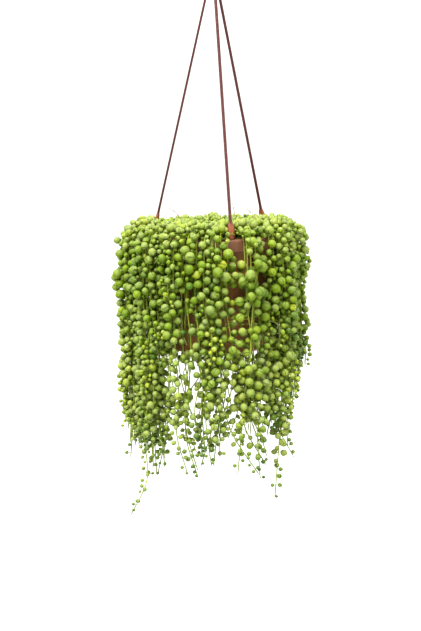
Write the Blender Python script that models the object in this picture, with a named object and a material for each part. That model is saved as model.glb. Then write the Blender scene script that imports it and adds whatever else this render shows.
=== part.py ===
"""A string of pearls in a hanging pot: moulded pot, soil, three-strand hanger and trailing leafy stems.

Units are metres and +Z is up. The origin is the seat of the hook, the point inside its bend that
rests on a rail. The pot's axis is the Z axis, and the hanger's front strand faces -Y.
"""

import math
import random

import bmesh
import bpy
import numpy as np
from mathutils import Matrix, Quaternion, Vector

GAP = 0.0003
SMOOTH_ANGLE = math.radians(50)

# Hook: a round bar bent to a crook, with a flange at its foot that the three strands hang from.
HOOK_BORE = 0.014
BAR = 0.003
BAR_SIDES = 8
HOOK_TIP_ANGLE = math.radians(205)
HOOK_NECK_ANGLE = math.radians(-62)
HOOK_STEPS = 12
SHANK_TOP = -0.040
FLANGE_TOP = -0.052
FLANGE_THICK = 0.003
FLANGE_RADIUS = 0.0086

# Strands: flat moulded bars, each with a head above the flange and a barbed foot in the rim.
STRAND_NAMES = ("front", "right", "left")
FIRST_STRAND_ANGLE = math.radians(-77.5)
STRAND_DROP = 0.242
STRAND_WIDTH = 0.0030
STRAND_THICK = 0.0021
HEAD_WIDTH = 0.0046
HEAD_THICK = 0.0030
HEAD_SEAT_RADIUS = 0.0050
FOOT_SEAT_RADIUS = 0.0660
SHOULDER_WIDTH = 0.0070
SHOULDER_THICK = 0.0034
TONGUE_WIDTH = 0.0038
TONGUE_THICK = 0.0018
BARB_WIDTH = 0.0060
BARB_THICK = 0.0023
BARB_LENGTH = 0.0052
# corners of a strand's section, as shares of its width and thickness
STRAND_SECTION = ((0.5, 0), (0.32, 0.5), (-0.32, 0.5), (-0.5, 0), (-0.32, -0.5), (0.32, -0.5))

# Pot: a tapered wall with a flat shelf round its mouth and a skirt hanging from the shelf.
RIM_TOP = FLANGE_TOP - FLANGE_THICK - STRAND_DROP
POT_HEIGHT = 0.118
POT_BASE = RIM_TOP - POT_HEIGHT
WALL = 0.0018
RIM_RADIUS = 0.0705
MOUTH_RADIUS = 0.0616
BASE_RADIUS = 0.0485
SKIRT_DROP = 0.012
SKIRT_TAPER = 0.0004
ROUNDING = 0.0015
POT_SIDES = 32
DRAIN_HOLES = 6
DRAIN_RADIUS = 0.0035
DRAIN_CIRCLE = 0.030
DRAIN_SIDES = 8

# Soil: fills the pot to below its rim, with a plain hole for each stem.
SOIL_DROP = 0.013
SOIL_CROWN = 0.004
SOIL_SIDES = 20
ROOT_DEPTH = 0.006
ROOT_HOLE_RADIUS = 0.0021
ROOT_HOLE_SIDES = 5

# Stems: rooted in the soil, each arching over the rim and hanging to its own length.
STEMS = 33
SEED = 7
STEM_RADIUS = 0.0011
STEM_END_RADIUS = 0.0006
LINE_STEP = 0.002
# where a stem is rooted, how high it crests over the rim and where, and how far out it hangs
LAYERS = (
    (0.052, 0.0042, 0.0720, 0.0780),
    (0.037, 0.0058, 0.0740, 0.0820),
    (0.023, 0.0076, 0.0765, 0.0862),
)
INNER_ROOTS_IN = 0.011
LEAN_LEFT = 0.0055
RIM_BERTH = 0.0055
STRAND_BERTH = math.radians(5.5)
HANG = 0.213
HANG_SHORT_RIGHT = 0.054
HANG_VARIES = 0.024
# each stem that has outgrown the rest: the way round in degrees, its drop, and how far its end has
# swung sideways and outwards
LONG_STEMS = (
    (-158, 0.284, 0.016, 0.017), (-115, 0.233, 0.006, 0.003), (-93, 0.231, 0.028, 0.000),
    (-71, 0.231, -0.006, 0.000), (-38, 0.261, -0.010, 0.002), (40, 0.232, -0.008, 0.004),
    (71, 0.238, 0.010, 0.000), (104, 0.262, 0.006, 0.008), (142, 0.240, -0.012, 0.004),
)
LOWEST_RISE = 0.0036
BACK_LOWER = 0.50
SWAY = 0.0042
SWAY_LENGTH = 0.040
SHOULDER_DROP = 0.026

# Pearls: round leaves on short stalks.
FIRST_PEARL = 0.0065
CROWN_PITCH = 0.0160
HANG_PITCH = 0.0215
TIP_PITCH = 0.0165
TIP_LENGTH = 0.050
END_BARE = 0.005
PEARL_SMALL = 0.0039
PEARL_LARGE = 0.0052
TIP_PEARL = 0.0018
# pearls are smaller from this far below the rim down, to this share of full size at the hem
LOW_FROM = 0.030
LOW_DOWN = 0.190
LOW_SHARE = 0.72
STALK = 0.0010
STALK_FOOT = 0.0014
CROWN_PEARLS = 0.84
CROWN_LIFT = 0.35
BACK_DROOP = 0.80
# how high the crown stands above the rim, this far across, and how it falls towards the back
CROWN_TOP = (
    (-0.110, -0.030), (-0.100, -0.010), (-0.094, 0.002), (-0.085, 0.010), (-0.077, 0.0165),
    (-0.069, 0.0155), (-0.061, 0.0130), (-0.053, 0.0095), (-0.045, 0.0085), (-0.037, 0.0110),
    (-0.029, 0.0110), (-0.021, 0.0135), (-0.013, 0.0130), (-0.005, 0.0165), (0.003, 0.0155),
    (0.011, 0.0115), (0.019, 0.0155), (0.027, 0.0130), (0.035, 0.0130), (0.043, 0.0150),
    (0.051, 0.0150), (0.059, 0.0165), (0.067, 0.0140), (0.075, 0.0100), (0.083, 0.0040),
    (0.091, -0.014), (0.100, -0.030),
)
CROWN_FALL = 0.14
CLEARANCE = 0.0007
TWIST = math.radians(47)
HANGING = -0.8


def polar(radius, angle, height):
    """The point at this distance from the pot's axis, this way round it and this high."""
    return Vector((radius * math.cos(angle), radius * math.sin(angle), height))


def material(name, colour, roughness):
    """A Principled material of one colour."""
    made = bpy.data.materials.new(name)
    made.use_nodes = True
    shader = made.node_tree.nodes["Principled BSDF"]
    shader.inputs["Base Color"].default_value = (*colour, 1.0)
    shader.inputs["Roughness"].default_value = roughness
    shader.inputs["Metallic"].default_value = 0.0
    return made


def add_object(name, bm, finish):
    """Makes the bmesh an object with this name and material, shaded smooth."""
    bmesh.ops.recalc_face_normals(bm, faces=bm.faces)
    mesh = bpy.data.meshes.new(name)
    bm.to_mesh(mesh)
    bm.free()
    mesh.shade_smooth()
    mesh.set_sharp_from_angle(angle=SMOOTH_ANGLE)
    if finish:
        mesh.materials.append(finish)
    made = bpy.data.objects.new(name, mesh)
    bpy.context.scene.collection.objects.link(made)
    return made


def cut(target, name, bm):
    """Takes the bmesh's shape out of the target."""
    cutter = add_object(name, bm, None)
    cutter.hide_render = True
    cutter.display_type = "WIRE"
    modifier = target.modifiers.new(name, "BOOLEAN")
    modifier.operation = "DIFFERENCE"
    modifier.solver = "EXACT"
    modifier.object = cutter


def turned(profile, sides):
    """A closed shape turned about the Z axis, from (radius, height) points that begin and end on it."""
    bm = bmesh.new()
    line = [bm.verts.new((radius, 0, height)) for radius, height in profile]
    for upper, lower in zip(line, line[1:]):
        bm.edges.new((upper, lower))
    bmesh.ops.spin(
        bm, geom=bm.verts[:] + bm.edges[:], cent=(0, 0, 0), axis=(0, 0, 1),
        angle=math.tau, steps=sides, use_merge=True,
    )
    bmesh.ops.remove_doubles(bm, verts=bm.verts, dist=1e-6)
    return bm


class Bar:
    """A bar drawn out one ring of corners at a time."""

    def __init__(self):
        self.bm = bmesh.new()
        self.cap = None

    def draw_to(self, ring):
        """Pulls the end of the bar out to the next ring of places."""
        if self.cap is None:
            self.cap = self.bm.faces.new([self.bm.verts.new(place) for place in ring])
            return
        self.cap = bmesh.ops.extrude_discrete_faces(self.bm, faces=[self.cap])["faces"][0]
        for corner, place in zip(self.cap.verts, ring):
            corner.co = place

    def closed(self):
        """The bar's mesh, with a face over its open first end."""
        open_edges = [edge for edge in self.bm.edges if edge.is_boundary]
        bmesh.ops.holes_fill(self.bm, edges=open_edges, sides=0)
        return self.bm


def ring_about(centre, across, along, radius, sides):
    """Corners round a circle that lies in the plane of the two directions."""
    turns = [math.tau * k / sides for k in range(sides)]
    return [centre + (across * math.cos(turn) + along * math.sin(turn)) * radius for turn in turns]


def strand_angles():
    """The ways round the pot that the strands stand."""
    return [FIRST_STRAND_ANGLE + math.tau * k / len(STRAND_NAMES) for k in range(len(STRAND_NAMES))]


def slot_cutters(radius, height, width, thick):
    """Blocks that cut a slot for each strand, where its section is this wide and thick."""
    bm = bmesh.new()
    size = (thick + 2 * GAP, width + 2 * GAP, 3 * FLANGE_THICK, 1.0)
    for angle in strand_angles():
        place = Matrix.Translation(polar(radius, angle, height)) @ Matrix.Rotation(angle, 4, "Z")
        bmesh.ops.create_cube(bm, size=1.0, matrix=place @ Matrix.Diagonal(size))
    return bm


def hook_line():
    """The middle of the hook's bar: round the crook, then back under it to the shank."""
    centre = Vector((0, 0, -HOOK_BORE))
    bend = []
    for step in range(HOOK_STEPS + 1):
        angle = HOOK_TIP_ANGLE + (HOOK_NECK_ANGLE - HOOK_TIP_ANGLE) * step / HOOK_STEPS
        bend.append(centre + Vector((math.cos(angle), 0, math.sin(angle))) * (HOOK_BORE + BAR))
    shank = Vector((0, 0, SHANK_TOP))
    swing = bend[-1].lerp(shank, 0.55) - Vector((0, 0, BAR / 3))
    return bend + [swing, shank, Vector((0, 0, FLANGE_TOP + BAR)), Vector((0, 0, FLANGE_TOP))]


def make_hook(finish):
    """The crook, drawn as one bar that widens to a flange at its foot, with a slot for each strand."""
    line = hook_line()
    across = Vector((0, 1, 0))
    bar = Bar()
    for k, centre in enumerate(line):
        run = line[min(k + 1, len(line) - 1)] - line[max(k - 1, 0)]
        side = run.normalized().cross(across)
        bar.draw_to(ring_about(centre, across, side, BAR, BAR_SIDES))
    for height in (FLANGE_TOP, FLANGE_TOP - FLANGE_THICK):
        bar.draw_to(ring_about(Vector((0, 0, height)), across, side, FLANGE_RADIUS, BAR_SIDES))
    hook = add_object("hanger_hook", bar.closed(), finish)
    middle = FLANGE_TOP - FLANGE_THICK / 2
    cut(hook, "hook_slots", slot_cutters(HEAD_SEAT_RADIUS, middle, STRAND_WIDTH, STRAND_THICK))


def strand_stations():
    """(radius, height, width, thickness) down a strand, from its head to the end of its barb."""
    head, foot = HEAD_SEAT_RADIUS, FOOT_SEAT_RADIUS
    wide, thick = STRAND_WIDTH, STRAND_THICK
    seat = FLANGE_TOP + GAP
    shelf = RIM_TOP - WALL - GAP

    def leaning(height):
        return foot - (foot - head) * height / STRAND_DROP

    return (
        (head, seat + 0.0026, HEAD_WIDTH * 0.8, HEAD_THICK * 0.8),
        (head, seat + 0.0018, HEAD_WIDTH, HEAD_THICK),
        (head, seat, HEAD_WIDTH, HEAD_THICK),
        (head, seat, wide, thick),
        (head, FLANGE_TOP - FLANGE_THICK - 0.0012, wide, thick),
        (leaning(0.120), RIM_TOP + 0.120, wide, thick),
        (leaning(0.019), RIM_TOP + 0.019, wide, thick),
        (leaning(0.0145), RIM_TOP + 0.0145, SHOULDER_WIDTH * 0.7, SHOULDER_THICK * 0.8),
        (leaning(0.0095), RIM_TOP + 0.0095, SHOULDER_WIDTH, SHOULDER_THICK),
        (foot, RIM_TOP + 0.0030, SHOULDER_WIDTH * 0.92, SHOULDER_THICK * 0.95),
        (foot, RIM_TOP + GAP, SHOULDER_WIDTH * 0.8, SHOULDER_THICK * 0.85),
        (foot, RIM_TOP + GAP, TONGUE_WIDTH, TONGUE_THICK),
        (foot, shelf, TONGUE_WIDTH, TONGUE_THICK),
        (foot, shelf, BARB_WIDTH, BARB_THICK),
        (foot, shelf - BARB_LENGTH, BARB_WIDTH / 2, BARB_THICK * 0.6),
    )


def make_strand(name, angle, finish):
    """One strand, drawn from head to barb with its flat side facing out."""
    around = Vector((-math.sin(angle), math.cos(angle), 0))
    outward = Vector((math.cos(angle), math.sin(angle), 0))
    bar = Bar()
    for radius, height, width, thick in strand_stations():
        middle = polar(radius, angle, height)
        bar.draw_to([middle + around * width * a + outward * thick * b for a, b in STRAND_SECTION])
    add_object("hanger_strand_" + name, bar.closed(), finish)


def wall_radius(height):
    """The outside of the pot's tapered wall at this height."""
    share = (height - POT_BASE) / POT_HEIGHT
    return BASE_RADIUS + (MOUTH_RADIUS + WALL - BASE_RADIUS) * share


def make_pot(finish):
    """The pot, turned from one profile, with slots for the strands' feet and holes for water."""
    shelf = RIM_TOP - WALL
    skirt = RIM_TOP - SKIRT_DROP
    skirt_radius = RIM_RADIUS - SKIRT_TAPER
    inside = BASE_RADIUS - WALL
    floor = POT_BASE + WALL
    profile = (
        (0, floor),
        (inside - 2 * ROUNDING, floor),
        (inside, floor + 2 * ROUNDING),
        (MOUTH_RADIUS, RIM_TOP - ROUNDING),
        (MOUTH_RADIUS + ROUNDING, RIM_TOP),
        (RIM_RADIUS - ROUNDING, RIM_TOP),
        (RIM_RADIUS, RIM_TOP - ROUNDING),
        (skirt_radius, skirt),
        (skirt_radius - WALL, skirt),
        (RIM_RADIUS - WALL, shelf),
        (MOUTH_RADIUS + WALL, shelf),
        (wall_radius(floor), floor),
        (BASE_RADIUS - ROUNDING, POT_BASE),
        (0, POT_BASE),
    )
    pot = add_object("pot", turned(profile, POT_SIDES), finish)
    middle = RIM_TOP - WALL / 2
    cut(pot, "rim_slots", slot_cutters(FOOT_SEAT_RADIUS, middle, TONGUE_WIDTH, TONGUE_THICK))
    drains = bmesh.new()
    for k in range(DRAIN_HOLES):
        centre = polar(DRAIN_CIRCLE, math.tau * (k + 0.5) / DRAIN_HOLES, POT_BASE + WALL / 2)
        bmesh.ops.create_cone(
            drains, cap_ends=True, segments=DRAIN_SIDES, radius1=DRAIN_RADIUS,
            radius2=DRAIN_RADIUS, depth=3 * WALL, matrix=Matrix.Translation(centre),
        )
    cut(pot, "drain_holes", drains)


def soil_height(radius):
    """The soil's surface, a little higher in the middle."""
    share = radius / MOUTH_RADIUS
    return RIM_TOP - SOIL_DROP + SOIL_CROWN * (1 - share * share)


def make_soil(roots, finish):
    """The soil, a hair clear of the pot, with a hole for each root."""
    base = POT_BASE + WALL + GAP
    inside = BASE_RADIUS - WALL - 3 * GAP
    edge = RIM_TOP - SOIL_DROP
    profile = [
        (0, base),
        (inside - 2 * ROUNDING, base),
        (inside, base + 2 * ROUNDING),
        (wall_radius(edge) - WALL - 3 * GAP, edge),
    ]
    profile += [(MOUTH_RADIUS * share, soil_height(MOUTH_RADIUS * share)) for share in (0.7, 0.35, 0)]
    soil = add_object("soil", turned(profile, SOIL_SIDES), finish)
    holes = bmesh.new()
    depth = 3 * ROOT_DEPTH
    for root in roots:
        centre = root + Vector((0, 0, depth / 2 - GAP))
        bmesh.ops.create_cone(
            holes, cap_ends=True, segments=ROOT_HOLE_SIDES, radius1=ROOT_HOLE_RADIUS,
            radius2=ROOT_HOLE_RADIUS, depth=depth, matrix=Matrix.Translation(centre),
        )
    cut(soil, "root_holes", holes)


def smooth_line(points, step):
    """Places about this far apart on a smooth curve through the points."""
    ends = [points[0] * 2 - points[1], *points, points[-1] * 2 - points[-2]]
    line = []
    for before, here, there, after in zip(ends, ends[1:], ends[2:], ends[3:]):
        count = max(2, round((there - here).length / step))
        for k in range(count):
            t = k / count
            speed = (there - before) * t
            bend = (before * 2 - here * 5 + there * 4 - after) * t ** 2
            twist = (here * 3 - before - there * 3 + after) * t ** 3
            line.append(here + (speed + bend + twist) / 2)
    return line + [points[-1].copy()]


def past_strands(angle):
    """This way round the pot, or the nearest way that is clear of the hanger's strands."""
    for strand in strand_angles():
        apart = (angle - strand + math.pi) % math.tau - math.pi
        if abs(apart) < STRAND_BERTH:
            return strand + math.copysign(STRAND_BERTH, apart)
    return angle


class Stem:
    """One leafy stem: its smooth middle line from its root to its tip."""

    def __init__(self, number, draw):
        self.number = number
        self.name = f"stem_{number + 1:02d}"
        self.angle = past_strands(math.tau * (number + 0.5 + draw.uniform(-0.12, 0.12)) / STEMS)
        self.hang = HANG - HANG_SHORT_RIGHT * max(0.0, math.cos(self.angle)) ** 2
        self.hang += HANG_VARIES * draw.uniform(-1, 0.6)
        self.long = False
        self.swing = 0.0
        self.flare = 0.0
        for degrees, drop, swing, flare in LONG_STEMS:
            apart = (math.degrees(self.angle) - degrees + 180) % 360 - 180
            if abs(apart) <= 180 / STEMS:
                self.hang = drop
                self.swing = swing
                self.flare = flare
                self.long = True
        self.line = smooth_line(self.plan(draw), LINE_STEP)
        self.reach = [0.0]
        for here, there in zip(self.line, self.line[1:]):
            self.reach.append(self.reach[-1] + (there - here).length)
        self.length = self.reach[-1]

    def plan(self, draw):
        """The points that the stem's line runs through."""
        root, rise, crest, out = LAYERS[self.number % len(LAYERS)]
        if self.number % (2 * len(LAYERS)) == len(LAYERS) - 1:
            root -= INNER_ROOTS_IN
        out += draw.uniform(-0.001, 0.001) - LEAN_LEFT * math.cos(self.angle)
        out = max(out, RIM_RADIUS + RIM_BERTH)
        rise = max(LOWEST_RISE, rise * (1 - BACK_LOWER * max(0.0, math.sin(self.angle))))
        soil = soil_height(root)
        top = RIM_TOP + rise
        shoulder = top - SHOULDER_DROP
        over = crest - root
        up = top - soil
        plan = [
            (root, soil - ROOT_DEPTH, 0),
            (root, soil - ROOT_DEPTH / 3, 0),
            (root, soil + 0.002, 0),
            (root + over * 0.03, soil + 0.0065, 0),
            (root + over * 0.28, soil + up * 0.72, 0),
            (root + over * 0.66, top - 0.001, 0),
            (crest, top, 0),
            (out - 0.0022, top - 0.009, 0),
            (out, shoulder, 0),
        ]
        phase = draw.uniform(0, math.tau)
        curl = draw.choice((-1, 1)) * draw.uniform(0.004, 0.012)
        drop = shoulder - (RIM_TOP - self.hang)
        spans = round(drop / SWAY_LENGTH)
        for k in range(1, spans + 1):
            share = k / spans
            sway = SWAY * math.sin(phase + 1.9 * k) * min(1.0, 2 * share) + self.swing * share ** 2
            if k == spans:
                sway += curl
            bulge = 0.4 * SWAY * math.cos(phase + 1.3 * k) + self.flare * share ** 12
            plan.append((out + bulge, shoulder - drop * share, sway))
        around = Vector((-math.sin(self.angle), math.cos(self.angle), 0))
        return [polar(radius, self.angle, height) + around * sway for radius, height, sway in plan]

    def at(self, distance):
        """The place this far along the stem, and the way that the stem runs there."""
        k = int(np.searchsorted(self.reach, distance)) - 1
        k = min(max(k, 0), len(self.line) - 2)
        share = (distance - self.reach[k]) / (self.reach[k + 1] - self.reach[k])
        run = self.line[min(k + 2, len(self.line) - 1)] - self.line[max(k - 1, 0)]
        return self.line[k].lerp(self.line[k + 1], share), run.normalized()

    def thickness(self, distance):
        """The stem's radius this far along it."""
        return STEM_RADIUS + (STEM_END_RADIUS - STEM_RADIUS) * distance / self.length

    def pearl_stations(self):
        """Distances along the stem at which a pearl may grow, one of them at its crest."""
        start = ROOT_DEPTH + FIRST_PEARL
        crest = self.reach[max(range(len(self.line)), key=lambda k: self.line[k].z)]
        spans = math.ceil((crest - start) / CROWN_PITCH)
        found = [start + (crest - start) * k / spans for k in range(spans + 1)]
        following = crest + CROWN_PITCH
        while following < self.length - END_BARE:
            found.append(following)
            following += TIP_PITCH if self.length - following < TIP_LENGTH else HANG_PITCH
        return found

    def rings(self):
        """(distance, place, run, side) for each ring of the stem, each turned a little from the last."""
        found = []
        side = None
        for distance in [0.0, ROOT_DEPTH, *self.pearl_stations(), self.length]:
            place, run = self.at(distance)
            if found:
                side.rotate(found[-1][2].rotation_difference(run))
                side.rotate(Quaternion(run, TWIST))
            else:
                side = run.orthogonal()
            side = (side - run * side.dot(run)).normalized()
            found.append((distance, place, run, side.copy()))
        return found


class Room:
    """The space that is taken, as balls along the stems and round the pearls."""

    def __init__(self, stems):
        rows = []
        for stem in stems:
            for place, distance in zip(stem.line, stem.reach):
                rows.append((*place, stem.thickness(distance), stem.number, distance))
        self.stem_balls = np.array(rows)
        self.pearl_balls = np.zeros((0, 4))

    def take(self, centre, radius):
        """Fills a ball with part of a pearl."""
        self.pearl_balls = np.vstack([self.pearl_balls, (*centre, radius)])

    def clear_of_pot(self, centre, radius):
        """True if a ball here is clear of the pot and the soil."""
        away = math.hypot(centre.x, centre.y)
        reach = radius + CLEARANCE
        if away + reach < MOUTH_RADIUS:
            return centre.z - reach > soil_height(away)
        if centre.z - reach > RIM_TOP:
            return True
        if centre.z + reach > RIM_TOP - SKIRT_DROP:
            return away - reach > RIM_RADIUS
        return away - reach > wall_radius(centre.z + reach)

    def clear_of_hanger(self, centre, radius):
        """True if a ball here is clear of the hanger's strands and their shoulders."""
        for angle in strand_angles():
            foot = polar(FOOT_SEAT_RADIUS, angle, RIM_TOP)
            head = polar(HEAD_SEAT_RADIUS, angle, FLANGE_TOP)
            share = max(0.0, (centre - foot).dot(head - foot) / (head - foot).length_squared)
            nearest = foot.lerp(head, share)
            half = SHOULDER_WIDTH if nearest.z < RIM_TOP + 0.02 else STRAND_WIDTH
            if (centre - nearest).length < radius + half * 0.6 + CLEARANCE:
                return False
        return True

    def clear_of_plant(self, centre, radius, stem, distance):
        """True if a ball here is clear of each pearl, and of each stem but its own where it grows."""
        reach = radius + CLEARANCE
        pearls = self.pearl_balls
        if (np.linalg.norm(pearls[:, :3] - centre, axis=1) < pearls[:, 3] + reach).any():
            return False
        stems = self.stem_balls
        near = np.linalg.norm(stems[:, :3] - centre, axis=1) < stems[:, 3] + reach
        own = (stems[:, 4] == stem.number) & (np.abs(stems[:, 5] - distance) < 2.2 * radius)
        return not (near & ~own).any()

    def has(self, centre, radius, stem, distance):
        """True if there is room for this pearl."""
        return (
            self.clear_of_pot(centre, radius)
            and self.clear_of_hanger(centre, radius)
            and self.clear_of_plant(centre, radius, stem, distance)
        )


def above_crown(centre, radius):
    """True if a pearl here would stand out above the crown, which slopes down to the back."""
    across, height = zip(*CROWN_TOP)
    top = RIM_TOP + float(np.interp(centre.x, across, height)) - CROWN_FALL * centre.y
    return centre.z + radius > top


def pearl_radius(stem, distance, place, run, draw):
    """A pearl's radius: full below the rim, less on the crown and low down, and small at a tip."""
    full = draw.uniform(PEARL_SMALL, PEARL_LARGE) * (1.0 if run.z < HANGING else CROWN_PEARLS)
    low = min(1.0, max(0.0, (RIM_TOP - LOW_FROM - place.z) / LOW_DOWN))
    full *= 1 - (1 - LOW_SHARE) * low
    young = TIP_LENGTH * (1.5 if stem.long else 1.0)
    return TIP_PEARL + (full - TIP_PEARL) * min(1.0, (stem.length - distance) / young)


def place_pearls(stem, room, draw):
    """{ring number: (face, centre, radius)}: on each ring, a pearl on the freest of the three faces."""
    placed = {}
    last = Vector((0, 0, 0))
    for number, (distance, place, run, side) in enumerate(stem.rings()):
        if distance <= ROOT_DEPTH or distance == stem.length:
            continue
        outward = Vector((place.x, place.y, 0)).normalized()
        normals = [Quaternion(run, math.tau * (k + 0.5) / 3) @ side for k in range(3)]
        if run.z < HANGING:
            liking = [normal.dot(outward) * 0.3 - normal.dot(last) for normal in normals]
        else:
            lift = CROWN_LIFT - BACK_DROOP * max(0.0, outward.y)
            liking = [-abs(normal.z - lift) for normal in normals]
        faces = sorted(range(3), key=lambda k: -liking[k])
        full = pearl_radius(stem, distance, place, run, draw)
        flat = stem.thickness(distance) / 2
        for radius, face in [(full * share, face) for share in (1.0, 0.8) for face in faces]:
            centre = place + normals[face] * (flat + STALK + radius)
            if not above_crown(centre, radius) and room.has(centre, radius, stem, distance):
                room.take(centre, radius)
                room.take(place + normals[face] * (flat + STALK), radius / 2)
                placed[number] = (face, centre, radius)
                last = normals[face]
                break
    return placed


def grow_pearl(bar, face, centre, radius):
    """Grows a pearl on a short stalk out of one side of the bar, just behind its end."""
    bm = bar.bm
    front = bar.cap.loops[face].edge
    side = next(other for other in front.link_faces if other is not bar.cap)
    near = sum((corner.co for corner in front.verts), Vector()) / 2
    far = sum((corner.co for corner in side.verts if corner not in front.verts), Vector()) / 2
    hub = bmesh.ops.poke(bm, faces=[side])["verts"][0]
    hub.co = near + (far - near).normalized() * STALK_FOOT
    foot = next(other for other in front.link_faces if hub in other.verts)
    foot_edges = foot.edges[:]
    foot_middle = foot.calc_center_median()
    bmesh.ops.delete(bm, geom=[foot], context="FACES_ONLY")

    turn = (centre - foot_middle).to_track_quat("Z", "Y").to_matrix().to_4x4()
    ball = bmesh.ops.create_icosphere(
        bm, subdivisions=1, radius=radius, matrix=Matrix.Translation(centre) @ turn
    )["verts"]
    root = min(ball, key=lambda corner: (corner.co - foot_middle).length)
    collar = [edge for around in root.link_faces for edge in around.edges if root not in edge.verts]
    bmesh.ops.delete(bm, geom=[root], context="VERTS")
    bmesh.ops.bridge_loops(bm, edges=foot_edges + collar)


def make_stem(stem, placed, finish):
    """A three-sided stem drawn from root to tip, with its pearls grown out of its sides."""
    bar = Bar()
    for number, (distance, place, run, side) in enumerate(stem.rings()):
        radius = stem.thickness(distance) * (0.5 if distance == stem.length else 1.0)
        bar.draw_to(ring_about(place, side, run.cross(side), radius, 3))
        if number in placed:
            grow_pearl(bar, *placed[number])
    bm = bar.closed()
    bmesh.ops.triangulate(bm, faces=bm.faces)
    add_object(stem.name, bm, finish)


def main():
    for old in list(bpy.data.objects):
        bpy.data.objects.remove(old)
    hanger_plastic = material("hanger_plastic", (0.30, 0.080, 0.065), 0.38)
    pot_plastic = material("pot_plastic", (0.25, 0.105, 0.060), 0.55)
    potting_soil = material("potting_soil", (0.055, 0.036, 0.024), 0.95)
    pearl_green = material("pearl_green", (0.20, 0.34, 0.060), 0.38)

    make_hook(hanger_plastic)
    for name, angle in zip(STRAND_NAMES, strand_angles()):
        make_strand(name, angle, hanger_plastic)
    make_pot(pot_plastic)

    draw = random.Random(SEED)
    stems = [Stem(number, draw) for number in range(STEMS)]
    make_soil([stem.line[0] for stem in stems], potting_soil)
    room = Room(stems)
    for stem in stems:
        make_stem(stem, place_pearls(stem, room, draw), pearl_green)


main()
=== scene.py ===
"""The looks of a string of pearls in a hanging pot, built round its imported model.

Units are metres and +Z is up. The origin is the seat of the hook, and the pot's axis is the Z axis.
The hanger's front strand faces -Y, towards the camera.
"""

import math
import random
from math import copysign, cos, hypot, pi, radians, sin, tau

import bmesh
import bpy
import numpy as np
from mathutils import Matrix, Quaternion, Vector, noise


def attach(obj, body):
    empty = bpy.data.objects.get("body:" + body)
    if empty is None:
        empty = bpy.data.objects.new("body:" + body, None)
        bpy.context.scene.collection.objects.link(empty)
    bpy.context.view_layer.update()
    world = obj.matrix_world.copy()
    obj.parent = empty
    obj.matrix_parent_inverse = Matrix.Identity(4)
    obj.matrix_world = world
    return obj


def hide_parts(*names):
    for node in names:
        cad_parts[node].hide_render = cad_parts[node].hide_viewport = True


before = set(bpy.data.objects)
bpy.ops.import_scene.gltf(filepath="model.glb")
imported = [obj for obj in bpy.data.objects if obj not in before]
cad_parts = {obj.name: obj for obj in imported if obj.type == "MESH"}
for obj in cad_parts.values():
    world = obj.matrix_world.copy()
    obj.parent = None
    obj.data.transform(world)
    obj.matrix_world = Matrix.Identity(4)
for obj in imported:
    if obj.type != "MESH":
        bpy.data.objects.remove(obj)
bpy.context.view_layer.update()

# Camera: 1.6 m from the middle of the pot's rim and 8 degrees above it, leaning a little as the
# photo's did. It aims so that the rim's middle falls on its pixel.
PHOTO_WIDTH = 421
PHOTO_HEIGHT = 631
FOCAL_PIXELS = 1590
SENSOR = 36
RIM_TOP = -0.297
RIM_PIXEL = (216.7, 230.4)
CAMERA_AWAY = 1.6
CAMERA_ABOVE = radians(8)
CAMERA_ROLL = radians(-0.78)


def add_object(name, data):
    """A new object that shows this data."""
    made = bpy.data.objects.new(name, data)
    bpy.context.scene.collection.objects.link(made)
    return made


sight = Vector((0, cos(CAMERA_ABOVE), -sin(CAMERA_ABOVE)))
rim_in_view = Vector((
    (RIM_PIXEL[0] - PHOTO_WIDTH / 2) / FOCAL_PIXELS,
    (PHOTO_HEIGHT / 2 - RIM_PIXEL[1]) / FOCAL_PIXELS,
    -1,
))
aim = rim_in_view.rotation_difference(Vector((0, 0, -1)))
turn = sight.to_track_quat("-Z", "Y") @ Quaternion((0, 0, 1), CAMERA_ROLL) @ aim
lens = bpy.data.cameras.new("camera")
lens.sensor_width = SENSOR
lens.lens = FOCAL_PIXELS * SENSOR / PHOTO_HEIGHT
camera = add_object("camera", lens)
camera.rotation_euler = turn.to_euler()
camera.location = Vector((0, 0, RIM_TOP)) - sight * CAMERA_AWAY
to_view = (Matrix.Translation(camera.location) @ turn.to_matrix().to_4x4()).inverted()
bpy.context.scene.camera = camera
bpy.context.scene.view_settings.view_transform = "Standard"
bpy.context.scene.view_settings.look = "Medium High Contrast"

# Studio: white all round, with a large soft light above and left of the camera and a weaker one
# on the right. The floor is a plain pale sheet well below the longest trail.
WORLD_STRENGTH = 1.14
# where each light stands, how wide it is, its power and how far its beam spreads
LIGHTS = (
    ("key_light", (-0.56, -1.05, 1.36), 1.8, 38, radians(80)),
    ("fill_light", (1.4, -1.1, 0.0), 1.2, 8, radians(120)),
)
FLOOR_HEIGHT = -1.25
FLOOR_SIZE = 30

world = bpy.data.worlds.new("studio")
world.use_nodes = True
background = world.node_tree.nodes["Background"].inputs
background["Color"].default_value = (1, 1, 1, 1)
background["Strength"].default_value = WORLD_STRENGTH
bpy.context.scene.world = world
for name, place, size, power, spread in LIGHTS:
    lamp = bpy.data.lights.new(name, "AREA")
    lamp.size = size
    lamp.energy = power
    lamp.spread = spread
    light = add_object(name, lamp)
    light.location = place
    light.rotation_euler = (Vector((0, 0, RIM_TOP)) - light.location).to_track_quat("-Z", "Y").to_euler()


class Reading:
    """A number that varies over a surface, with arithmetic that adds its own nodes."""

    def __init__(self, finish, socket):
        self.finish = finish
        self.socket = socket

    def maths(self, operation, first, second):
        return self.finish.node("Math", {"operation": operation}, {0: first, 1: second})

    def __add__(self, other):
        return self.maths("ADD", self, other)

    __radd__ = __add__

    def __sub__(self, other):
        return self.maths("SUBTRACT", self, other)

    def __rsub__(self, other):
        return self.maths("SUBTRACT", other, self)

    def __mul__(self, other):
        return self.maths("MULTIPLY", self, other)

    __rmul__ = __mul__


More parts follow.
